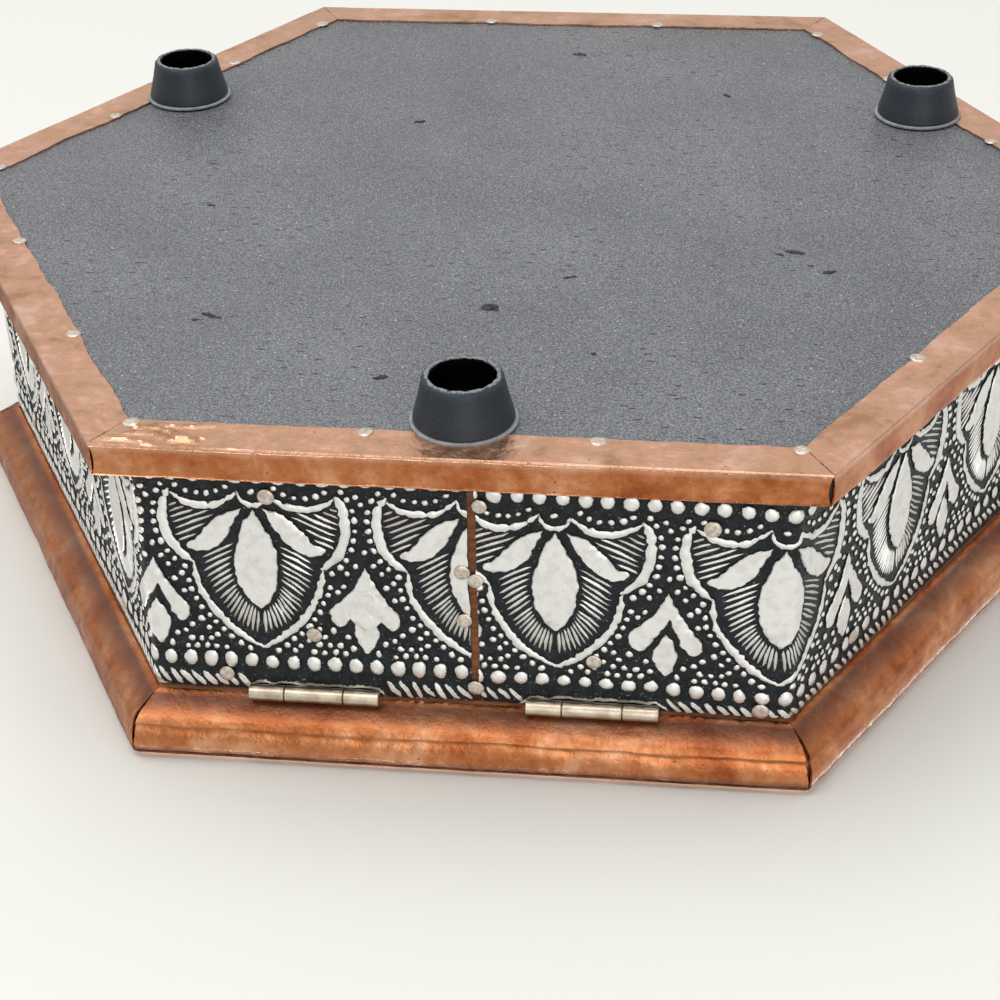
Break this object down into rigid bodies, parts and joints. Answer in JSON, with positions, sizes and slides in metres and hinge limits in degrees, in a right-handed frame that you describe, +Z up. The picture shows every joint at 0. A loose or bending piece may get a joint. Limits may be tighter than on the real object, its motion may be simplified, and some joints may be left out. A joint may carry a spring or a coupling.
{
  "type": "trinket box",
  "caption": "Hexagonal wooden trinket box with a hinged lid, clad in embossed white metal with copper edge strips and rubber feet.",
  "frame": {"origin": "middle of the box's footprint, on the surface its feet stand on", "axes": "+Z up, hinges and hinge wall at +Y, front wall at -Y, two of the six corners at +X and -X"},
  "size_m": [0.2752, 0.2384, 0.0843],
  "materials": {
    "black_board": "matte black pebbled paint",
    "box_wood": "bare board",
    "copper": "hand-bent copper sheet, mottled patina",
    "white_metal": "embossed, blackened ground",
    "nickel": "dull nickel plate",
    "zinc_steel": "zinc plated",
    "foot_rubber": "dull moulded",
    "grey_washer": "thin flange",
    "lining": "felt"
  },
  "bodies": {
    "case": {"base_board": "black_board", "wall_back": "box_wood", "base_strip_back": "copper", "wall_back_left": "box_wood", "base_strip_back_left": "copper", "wall_front_left": "box_wood", "base_strip_front_left": "copper", "wall_front": "box_wood", "base_strip_front": "copper", "wall_front_right": "box_wood", "base_strip_front_right": "copper", "wall_back_right": "box_wood", "base_strip_back_right": "copper", "wall_sheet_left": "white_metal", "wall_sheet_right": "white_metal", "floor_felt": "lining", "wall_felts": "lining", "foot_back": "foot_rubber", "foot_front_left": "foot_rubber", "foot_front_right": "foot_rubber", "foot_washers": "grey_washer", "foot_screws": "zinc_steel", "base_brads": "nickel", "board_nails": "nickel", "sheet_brads": "nickel", "hinge_left_body_leaf": "nickel", "hinge_left_pin": "nickel", "hinge_right_body_leaf": "nickel", "hinge_right_pin": "nickel", "hinge_body_nails": "zinc_steel"},
    "lid": {"lid_board": "box_wood", "lid_sheet": "white_metal", "lid_felt": "lining", "lid_brads": "nickel", "lid_frame_back": "box_wood", "lid_strip_back": "copper", "lid_frame_back_left": "box_wood", "lid_strip_back_left": "copper", "lid_frame_front_left": "box_wood", "lid_strip_front_left": "copper", "lid_frame_front": "box_wood", "lid_strip_front": "copper", "lid_frame_front_right": "box_wood", "lid_strip_front_right": "copper", "lid_frame_back_right": "box_wood", "lid_strip_back_right": "copper", "hinge_left_lid_leaf": "nickel", "hinge_right_lid_leaf": "nickel", "hinge_lid_nails": "zinc_steel"}
  },
  "joints": [
    {"name": "lid_hinge", "type": "hinge", "parent": "case", "child": "lid", "pos_m": [0, 0.1123, 0.0706], "axis": [-1, 0, 0], "range_deg": [0, 140]}
  ]
}
